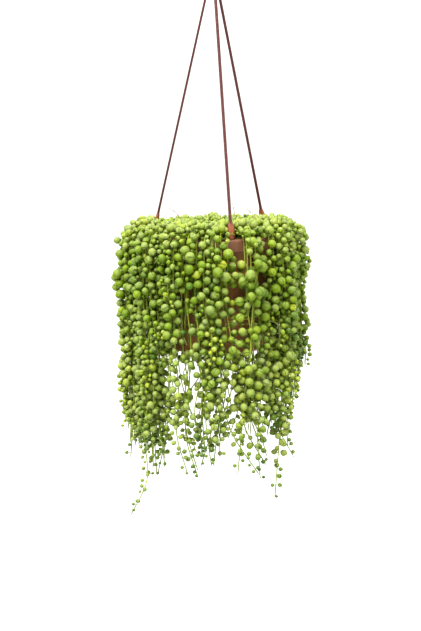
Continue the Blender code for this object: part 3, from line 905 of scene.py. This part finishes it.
# how far the hem hangs below the rim this way round
HEM = (
    (-180, 0.222), (-165, 0.232), (-133, 0.236), (-114, 0.24), (-101, 0.224), (-85, 0.238),
    (-72, 0.24), (-56, 0.228), (-40, 0.228), (-30, 0.192), (-20, 0.16), (-8, 0.14),
    (8, 0.14), (20, 0.16), (28, 0.186), (42, 0.216), (60, 0.228), (90, 0.23), (140, 0.225),
    (180, 0.222),
)
# share of the trails that stay short this way round, and their length as a share of the hem's drop
SHORT = (
    (-180, 0.28, 0.62), (-137, 0.28, 0.62), (-129, 0.62, 0.43), (-104, 0.62, 0.43), (-97, 0.24, 0.62),
    (-50, 0.24, 0.62), (97, 0.28, 0.62), (104, 0.66, 0.43), (129, 0.66, 0.43), (137, 0.28, 0.62),
    (180, 0.28, 0.62),
)
# the ways round that hanging stems gather into locks
LOCKS = (-165, -140, -118, -95, -66, -38, -12, 12, 38, 66, 95, 118, 140, 165)
INNERMOST = 0.0735
CURTAIN_DEPTH = 0.014
LOCK_RIDGE = 0.0062
LOCK_PULL = 0.35
YOUNG_RISE = 0.0024
LOCK_NARROW = 14
LEFT_IN = 0.004
RIGHT_IN = 0.0012
# where the large opening below the pot is, its size, and the share of stems that end above it
OPENING = (-0.036, 0.152)
OPENING_CORE = 0.015
ENDS_ABOVE = 0.25


def seen(place):
    """How far across and below the rim's middle the camera sees a place."""
    view = to_view @ place
    across = view.x / -view.z - rim_in_view.x
    down = rim_in_view.y - view.y / -view.z
    return across * CAMERA_AWAY, down * CAMERA_AWAY


def along_table(table, angle, column=1):
    """The value in the table's column, this way round the pot."""
    degrees = (math.degrees(angle) + 180) % 360 - 180
    return float(np.interp(degrees, [row[0] for row in table], [row[column] for row in table]))


draw = random.Random(MORE_SEED)
fullness = np.array([along_table(FULLNESS, radians(degree)) for degree in range(-180, 180)])
reached = np.concatenate([[0], np.cumsum(fullness)]) / fullness.sum()
for k in range(MORE_TRAILS):
    share = (k + draw.uniform(0.1, 0.9)) / MORE_TRAILS
    angle = past_strands(radians(float(np.interp(share, reached, range(-180, 181)))))
    depth = ((k * 0.618) % 1 + draw.uniform(-0.1, 0.1)) % 1
    lock = min(LOCKS, key=lambda degrees: abs(sin((radians(degrees) - angle) / 2)))
    apart = (radians(lock) - angle + pi) % tau - pi
    angle = past_strands(angle + apart * LOCK_PULL)
    apart *= 1 - LOCK_PULL
    ridge = LOCK_RIDGE * (cos(min(pi, abs(apart) * LOCK_NARROW)) - 0.3)
    out = INNERMOST + CURTAIN_DEPTH * depth + ridge
    out -= RIGHT_IN * max(0, cos(angle)) + LEFT_IN * max(0, -cos(angle))
    crest = min(out - 0.004, 0.0715 + 0.006 * depth)
    rise = 0.0026 + 0.004 * depth + draw.uniform(-0.0006, 0.001)
    root = draw.uniform(0.015, 0.055)
    hem = along_table(HEM, angle)
    if draw.random() < along_table(SHORT, angle):
        hang = hem * along_table(SHORT, angle, 2) * draw.uniform(0.75, 1.12)
        drift = draw.uniform(-0.016, 0.016)
    else:
        hang = hem * draw.uniform(0.86, 1.03)
        drift = apart * out * draw.uniform(0.3, 0.9) + draw.uniform(-0.004, 0.004)
    out = max(out - LEAN_LEFT * cos(angle), RIM_RADIUS + 0.0035)
    phase = draw.uniform(0, tau)
    curl = draw.choice((-1, 1)) * draw.uniform(0.002, 0.012)
    sway = draw.uniform(0.0025, 0.0085)
    flare = draw.uniform(-0.003, 0.006)
    start = angle, root, rise, crest, out
    bend = sway, phase, curl
    trail = Trail(angle, arching(*start, hang, *bend, drift, flare, YOUNG_RISE))
    nearest = min(math.dist(seen(place), OPENING) for place in trail.line)
    if draw.random() < ENDS_ABOVE and nearest < OPENING_CORE:
        hang = draw.uniform(0.085, 0.118)
        trail = Trail(angle, arching(*start, hang, *bend, 0, flare, YOUNG_RISE))
    plant(trail)

# Crown sprigs: short young shoots with small pearls. They come up out of the soil and creep over
# the middle of the pot.
SPRIGS = 64
SPRIG_SEED = 57


def creeping():
    """The points of a shoot that creeps outwards over the rest."""
    away = 0.05 * math.sqrt(draw.random())
    angle = draw.uniform(0, tau)
    course = angle + draw.uniform(-1.1, 1.1)
    here = polar(away, angle, soil_height(away) - 0.003)
    top = RIM_TOP + draw.uniform(-0.0005, 0.006) - 0.1 * max(0, here.y + 0.01)
    points = [here, here + Vector((0, 0, 0.006))]
    step = draw.uniform(0.007, 0.011)
    for k in range(draw.randint(3, 5)):
        course += draw.uniform(-0.5, 0.5)
        here = here + polar(1, course, 0) * step
        lift = top + draw.uniform(-0.0015, 0.002)
        edge = here.xy.length - RIM_RADIUS
        if edge > 0.004:
            lift -= (edge - 0.004) * 0.9
        points.append(Vector((here.x, here.y, lift)))
    return points


draw = random.Random(SPRIG_SEED)
first_sprig = len(trails)
for k in range(SPRIGS):
    points = creeping()
    plant(Trail(math.atan2(points[-1].y, points[-1].x), points, habit="sprig"))

# Young shoots: short side shoots of the hanging stems. They grow outwards, droop, and are set
# closely with small pearls of a fresher green.
SHOOTS = 100
SHOOT_SEED = 5
SHOOT_REACH = 0.094


def drooping(parent):
    """The points of a shoot that grows outwards and then hangs."""
    place, run = parent.at(parent.length * draw.uniform(0.3, 0.95))
    outward = Vector((place.x, place.y, 0)).normalized()
    around = Vector((-outward.y, outward.x, 0))
    away = (outward * draw.uniform(0.4, 1.0) + around * draw.uniform(-1, 1)).normalized()
    widest = SHOOT_REACH - (LEAN_LEFT if outward.x > 0 else LEAN_LEFT - LEFT_IN) * outward.x
    reach = max(0.003, min(draw.uniform(0.006, 0.013), widest - place.xy.length))
    fall = draw.uniform(0.008, 0.034)
    down = Vector((0, 0, -1))
    curl = around * draw.uniform(-0.006, 0.006)
    return [
        place,
        place + away * reach * 0.6 + down * 0.001,
        place + away * reach + down * (0.005 + fall * 0.1),
        place + away * reach * 1.05 + curl * 0.3 + down * (0.005 + fall * 0.55),
        place + away * reach + curl + down * (0.005 + fall),
    ]


draw = random.Random(SHOOT_SEED)
first_shoot = len(trails)
while len(trails) < first_shoot + SHOOTS:
    parent = draw.choice(trails[:first_sprig])
    points = drooping(parent)
    if points[0].z <= RIM_TOP - 0.004:
        plant(Trail(parent.angle, points, habit="shoot"))

# Dry stalks: three thin brown remains of flower stems, with a pale bleached grain. They stand up
# out of the crown.
STALK_FOOT_RADIUS = 0.00055
STALK_TIP_RADIUS = 0.00028
STALK_CORNERS = 6
STALK_BROWN = (0.16, 0.085, 0.04)
STALK_GREY = (0.3, 0.23, 0.15)
# across, towards the back and above the rim in millimetres, from root to tip
DRY_STALKS = (
    ((23.5, -22, -11), (21.5, -22, 4), (18.5, -21, 17), (16, -20, 29)),
    ((43, -12, -11), (41, -12, 6), (37, -12, 16), (29.5, -11, 23.5)),
    ((-34, 30, -10), (-36, 31, 5), (-41, 32, 14), (-49, 34, 19)),
)

straw = Finish("dry_stalk_finish", Roughness=0.8)
bleached = straw.step(straw.grain(500, 3.0), 0.4, 0.7)
straw.vary("Base Color", straw.blend(bleached, STALK_BROWN, STALK_GREY))
straw.dent(straw.grain(3000), 0.00005)

bm = bmesh.new()
for plan in DRY_STALKS:
    line = smooth_line([Vector((x, y, RIM_TOP + above)) for x, y, above in metres(plan)], 0.0018)
    bar = Bar(bm)
    for k, centre in enumerate(line):
        run = heading(line, k)
        side = run.cross(Vector((0, 1, 0))).normalized()
        radius = STALK_FOOT_RADIUS + (STALK_TIP_RADIUS - STALK_FOOT_RADIUS) * k / len(line)
        radius *= 1 + 0.25 * sin(k * 1.7)
        bar.draw_to(ring_about(centre, side, run.cross(side), radius, STALK_CORNERS))
put("dry_stalks", bm, straw, "potting_soil")

# Pearls between: every stem is set with pearls wherever there is room for one. They are smaller
# on the young shoots, and small and far apart at the tips.
TIP_GAP = 0.008
YOUNGEST = 0.0014
# smallest and largest radius, how far apart they sit, and the length of the young end
HABITS = {
    "hanging": (0.0029, 0.0051, 0.0048, 0.034),
    "sprig": (0.002, 0.004, 0.0054, 0.02),
    "shoot": (0.0016, 0.003, 0.0042, 0.02),
}
SWELL = 0.18
LARGEST = 0.0053
EARLY_SHOOTS = 34
# places where stems have lost their pearls, in millimetres, as the camera sees them at the pot's
# axis: how far across, how far below the middle of the rim, half width and half height
BARE_BEFORE_POT = metres((
    (21, 15, 9, 9), (54, 17, 12, 10), (29, 32, 9, 9), (46, 47, 6, 7), (20, 64, 11, 5),
    (-29, 64, 11, 5), (-52, 85, 8, 8), (-31, 90, 9, 6), (9, 85, 6, 12), (36, 94, 9, 11),
    (-34, 110, 12, 15), (11, 110, 5, 12),
))
BARE_THROUGH = metres((
    (-39, 148, 16, 16), (-19, 158, 6, 22), (-21, 182, 8, 13), (11, 146, 9, 6), (12, 168, 6, 9),
    (35, 126, 9, 9), (60, 100, 5, 9), (67, 37, 4, 9), (-69, 70, 4, 6), (-70, 103, 4, 6),
    (-53, 127, 5, 6), (-85, 163, 5, 9), (63, 162, 5, 10), (-89, 202, 6, 8), (33, 200, 8, 7),
    (-12, 200, 5, 10),
))
BARE_FRONT = BARE_THROUGH + BARE_BEFORE_POT
BARENESS = 0.97
NIBBLED = 0.55
WHOLE_STRANDS = 0.1
CROWN_BUMPS = 0.0045
BACK_RAISED = 0.028
COVERED = 0.0064
LOW_LOOSE = 0.5
# how large the pearls grow this way round the pot, as a share of the usual size
BIG_PEARLS = (
    (-180, 0.86), (-150, 0.94), (-95, 0.94), (-80, 1.06), (-40, 1.06), (-22, 0.84), (0, 0.76),
    (25, 0.8), (60, 0.9), (180, 0.86),
)
FILL_SEED = 83
# how large a pearl may be, as a share of full size, and how much longer its stalk, best first
REACHES = ((1.0, 0.0), (1.0, 0.003), (0.84, 0.0), (0.84, 0.003), (0.68, 0.0), (0.68, 0.003))
WAYS = 7


def in_bare_place(centre, radius):
    """True if the camera sees a pearl here in one of the bare places."""
    across, drop = seen(centre)
    for middle, below, half_width, half_height in BARE_FRONT if centre.y < 0 else BARE_THROUGH:
        wide, high = half_width + radius * NIBBLED, half_height + radius * NIBBLED
        if hypot((across - middle) / wide, (drop - below) / high) < 1:
            return True
    return False


def free_place(place, ways, stalk, full, age, shed, trail, distance):
    """(centre, radius) of the largest pearl that there is room for here."""
    for shrink, longer in REACHES[:4 if age < 0.85 else None]:
        radius = full * shrink
        for way in ways:
            centre = place + way * (stalk + longer + radius)
            bump = CROWN_BUMPS * noise.noise(centre * 110) - BACK_RAISED * max(0, centre.y)
            if centre.z + radius > RIM_TOP + COVERED and above_crown(centre, radius + bump):
                continue
            if shed and in_bare_place(centre, radius):
                continue
            if room.has(centre, radius, trail, distance):
                return centre, radius
    return None


def fill_in(trail):
    """Sets pearls along the stem wherever there is room for one."""
    room.look_at(trail)
    smallest, largest, close, young = HABITS[trail.habit]
    distance = 0.01 if trail.habit == "hanging" else 0.004
    turn = draw.uniform(0, tau)
    vigour = draw.uniform(0.8, 1.12)
    big = along_table(BIG_PEARLS, trail.angle) * vigour
    flip = draw.choice((-1, 1))
    whole = draw.random() < WHOLE_STRANDS
    while distance < trail.length - 0.001:
        left = trail.length - distance
        share = min(1.0, left / young / (1.7 if trail.long else 1.0))
        full = draw.uniform(smallest, largest)
        place, run = trail.at(distance)
        age = young_share(place)
        if trail.habit == "hanging":
            full = min(LARGEST, full * big * (1 + SWELL * sin(turn + distance * 70))) * age
        full = YOUNGEST + (full - YOUNGEST) * share ** 0.7
        side = run.orthogonal().normalized()
        outward = Vector((place.x, place.y, 0.0001)).normalized()
        around = Vector((-outward.y, outward.x, 0))
        ways = [Quaternion(run, turn + tau * k / WAYS) @ side for k in range(WAYS)]
        flip = -flip
        if run.z > HANGING:
            full *= CROWN_PEARLS * (1 - 0.2 * max(0, outward.y))
            level = CROWN_LIFT - 0.5 * BACK_DROOP * max(0, outward.y)
            ways.sort(key=lambda way: abs(way.z - level) - 0.4 * flip * way.dot(run.cross((0, 0, 1))))
        else:
            best_way = outward + around * flip * draw.uniform(0.3, 1.5)
            ways.sort(key=lambda way: -way.dot(best_way))
        stalk = draw.uniform(0.0005, 0.0022)
        flat = trail.thickness(distance)
        shed = draw.random() < BARENESS and not whole
        room_found = free_place(place, ways, flat + stalk, full, age, shed, trail, distance)
        if room_found:
            room.take(*room_found)
            trail.pearls.append((distance, place, *room_found))
        pitch = close + (TIP_GAP - close) * (1 - share) * (1.0 if trail.habit == "hanging" else 0.0)
        distance += pitch * (0.4 + 0.6 * vigour + LOW_LOOSE * (1 - age)) * draw.uniform(0.7, 1.3)


draw = random.Random(FILL_SEED)
hanging = sorted(trails[:first_sprig], key=lambda trail: -max(place.xy.length for place in trail.line))
early = trails[first_shoot:first_shoot + EARLY_SHOOTS]
for trail in early + hanging + trails[first_sprig:first_shoot] + trails[first_shoot + EARLY_SHOOTS:]:
    fill_in(trail)

# Skin: each pearl has its own shade of green, a dark clear stripe down one side that lets light in, and a
# pale waxy bloom.
# Part of this is painted light: each pearl is paler on its upper side as a painted highlight, and the
# pearls of the crown and of the hem are painted lighter. Stems are yellow-green, and tan towards their
# tips.
PEARL_DEEP = (0.036, 0.08, 0.004)
PEARL_MIDDLE = (0.102, 0.152, 0.005)
PEARL_YELLOW = (0.21, 0.245, 0.012)
PEARL_WINDOW = (0.024, 0.052, 0.003)
# pale bloom, and the painted highlight
PEARL_BLOOM_AND_HIGHLIGHT = (0.222, 0.24, 0.108)
STEM_GREEN = (0.17, 0.21, 0.03)
STEM_TAN = (0.055, 0.054, 0.022)

skin = Finish(
    "pearl_skin", Roughness=0.5, IOR=1.36, Specular_IOR_Level=0.28,
    Subsurface_Weight=0.6, Subsurface_Radius=(0.7, 1.0, 0.15), Subsurface_Scale=0.0035,
)
tint = skin.carried("tint", "Color")
is_pearl = skin.carried("tint", "Alpha")
hue = skin.part(tint, "Red")
bloom_and_painted_light = skin.part(tint, "Green")
# for a pearl, how far up its side, which paints a highlight on its upper side; for a stem, how dry it is
side = skin.part(tint, "Blue")
spot = skin.carried("spot", "Vector")
across = skin.part(spot, "X")
uneven = skin.grain(260)
speckle = skin.grain(1700)
green = skin.blend(skin.step(hue, 0.5, 1.0), skin.blend(
    skin.step(hue, 0.0, 0.5), PEARL_DEEP, PEARL_MIDDLE,
), PEARL_YELLOW)
stripe = skin.step(across * across, 0.0, 0.035, 1.0, 0.0) * skin.step(skin.part(spot, "Y"), 0.0, 0.25)
# The pale bloom is partly the pearls' own wax, in random patches and specks, and partly painted
# highlight: it grows with how far up each pearl's side a point is, and with the painted light of the
# crown and the hem.
wax_and_highlight = skin.step(uneven * 0.7 + bloom_and_painted_light * 0.9 + side * 0.8, 0.9, 2.1) * 0.48
wax_and_highlight += skin.step(speckle, 0.6, 0.8) * 0.06
pearl_colour = skin.blend(stripe * 0.7, skin.blend(wax_and_highlight, green, PEARL_BLOOM_AND_HIGHLIGHT), PEARL_WINDOW)
stem_colour = skin.blend(skin.step(side + uneven * 0.4, 0.6, 1.2), STEM_GREEN, STEM_TAN)
skin.vary("Base Color", skin.blend(is_pearl, stem_colour, pearl_colour))
skin.vary("Roughness", skin.step(wax_and_highlight - stripe * 0.4, -0.4, 0.5, 0.38, 0.56))
skin.dent(skin.grain(900, 3.0), 0.00006)

STEM_SIDES = 5
STEM_RING = 0.0034
THINNEST = 0.0006
TIP_DARK = 0.75
PEARL_TIP = 1.16
STALK_SIDES = 3
STALK_FOOT = 0.15
STALK_TOP = -1.2
SHOOT_FRESH = 0.16
YELLOWED = 0.004
GROUPS = 16
SMALL_GROUPS = 4
TINT_SEED = 11


def with_layers():
    """A bmesh whose corners carry their spot on a pearl and their tint."""
    bm = bmesh.new()
    return bm, bm.verts.layers.float_vector.new("spot"), bm.verts.layers.float_color.new("tint")


def grow_stem(trail):
    """The mesh of the stem's tube, from its root to its tip."""
    bm, spot, tint = with_layers()
    bar = Bar(bm)
    count = max(4, round(trail.length / STEM_RING))
    hue = draw.uniform(0.3, 0.8)
    distances = [trail.length * k / count for k in range(count)] + [trail.length]
    for distance, place, run, side in trail.rings(distances):
        left = trail.length - distance
        radius = max(THINNEST, trail.thickness(distance) * 0.52) * (1 if left else 0.6)
        bar.draw_to(ring_about(place, side, run.cross(side), radius, STEM_SIDES))
        dry = 1.0 - min(1.0, left / 0.05)
        for corner in bar.cap.verts:
            corner[tint] = (hue, 0.0, 0.35 + 0.5 * dry, 0.0)
    return mesh_from("stem", bm)


pearl, spot, tint = with_layers()
bmesh.ops.create_icosphere(pearl, subdivisions=2, radius=1)
for corner in pearl.verts:
    if corner.co.z > 0.99:
        corner.co.z = PEARL_TIP
bmesh.ops.create_cone(
    pearl, cap_ends=False, segments=STALK_SIDES, radius1=STALK_FOOT, radius2=STALK_FOOT,
    depth=1, matrix=Matrix.Translation((0, 0, -1.4)),
)
for corner in pearl.verts:
    corner[spot] = corner.co
pearl_mesh = mesh_from("pearl", pearl)


def grow_pearl(bm, tint, place, centre, radius, run, tints):
    """One pearl on its stalk, turned a little towards the stem's tip."""
    start = len(bm.verts)
    bm.from_mesh(pearl_mesh)
    bm.verts.ensure_lookup_table()
    outward = (centre - place).normalized()
    axis = (outward + run * draw.uniform(-0.1, 0.5)).normalized()
    turn = (axis.to_track_quat("Z", "Y") @ Quaternion((0, 0, 1), draw.uniform(0, tau))).to_matrix()
    shape = Vector((1, draw.uniform(0.94, 1.0), draw.uniform(0.96, 1.06))) * radius
    for corner in bm.verts[start:]:
        here = corner.co
        if here.z < STALK_TOP:
            corner.co = place + turn @ Vector((here.x, here.y, 0)) * radius
        else:
            corner.co = centre + turn @ (here * shape)
        # Painted highlight: how far up the pearl each corner stands, so that the skin is painted paler on
        # each pearl's upper side.
        up_for_painted_highlight = (corner.co.z - centre.z) / radius
        corner[tint] = (*tints, min(1.0, max(0, 0.5 + 0.5 * up_for_painted_highlight)), 1.0)
        if here.z < STALK_TOP:
            corner[tint] = (tints[0], 0.0, 0.2, 0.0)


def grow(name, members, *nodes):
    """Makes these trails and their pearls one piece."""
    bm, spot, tint = with_layers()
    for trail in members:
        bm.from_mesh(grow_stem(trail))
        shade = draw.gauss(0, 0.11)
        for distance, place, centre, radius in trail.pearls:
            # Painted light: pearls high on the crown get a yellower hue and more pale bloom, standing for
            # the light from above. Low pearls get a lighter hue and more bloom, partly as fresher young
            # growth and partly as painted light for the light through the thin hem.
            high = min(1.0, max(0, (centre.z - RIM_TOP + 0.03) / 0.04))
            fresh_and_painted_light = 1 - young_share(centre)
            hue = 0.37 + 0.25 * high + 1.3 * fresh_and_painted_light + shade + draw.gauss(0, 0.09)
            tip = max(0, 1 - (trail.length - distance) / TIP_LENGTH / (1.6 if trail.long else 1))
            if trail.habit == "shoot":
                hue += SHOOT_FRESH
            if trail.habit == "hanging":
                hue -= TIP_DARK * tip
            if draw.random() < YELLOWED:
                hue = 1.0
            wax_and_painted_light = draw.uniform(0.1, 0.9) + 2.5 * fresh_and_painted_light * (1 - tip) + 0.45 * high
            tints = (min(1, max(0, hue)), wax_and_painted_light)
            grow_pearl(bm, tint, place, centre, radius, trail.at(distance)[1], tints)
    put(name, bm, skin, "pearl_green", *nodes)


draw = random.Random(TINT_SEED)
for k in range(STEMS):
    grow(f"leafy_stem_{k + 1:02d}", [trails[k]], f"stem_{k + 1:02d}")
more = trails[STEMS:first_sprig]
for k in range(GROUPS):
    grow(f"more_trails_{k + 1:02d}", more[len(more) * k // GROUPS:len(more) * (k + 1) // GROUPS])
for name, first, end in (("crown_sprigs", first_sprig, first_shoot), ("young_shoots", first_shoot, None)):
    for k in range(SMALL_GROUPS):
        grow(f"{name}_{k + 1}", trails[first + k:end:SMALL_GROUPS])
